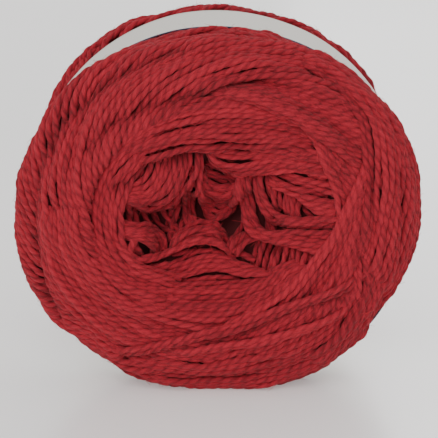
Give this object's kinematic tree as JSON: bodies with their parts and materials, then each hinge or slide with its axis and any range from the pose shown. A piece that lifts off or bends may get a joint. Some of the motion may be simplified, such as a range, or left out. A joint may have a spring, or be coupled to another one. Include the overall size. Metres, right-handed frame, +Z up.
{
  "type": "skein of yarn",
  "caption": "Skein of two-ply red yarn wound as a fat drum-shaped ball with a sunken middle, held by a plain paper band round its waist.",
  "frame": {"origin": "on the floor, under the middle of the ball", "axes": "+X to the right along the ball's width, +Y along the winding axis away from the end with the collapsed middle, +Z up"},
  "size_m": [0.0899, 0.068, 0.0793],
  "materials": {
    "yarn": "soft two-ply wool, matt, with a light fuzz",
    "band": "uncoated pale paper"
  },
  "bodies": {
    "root": {"skein": "yarn", "band": "band"}
  },
  "joints": []
}
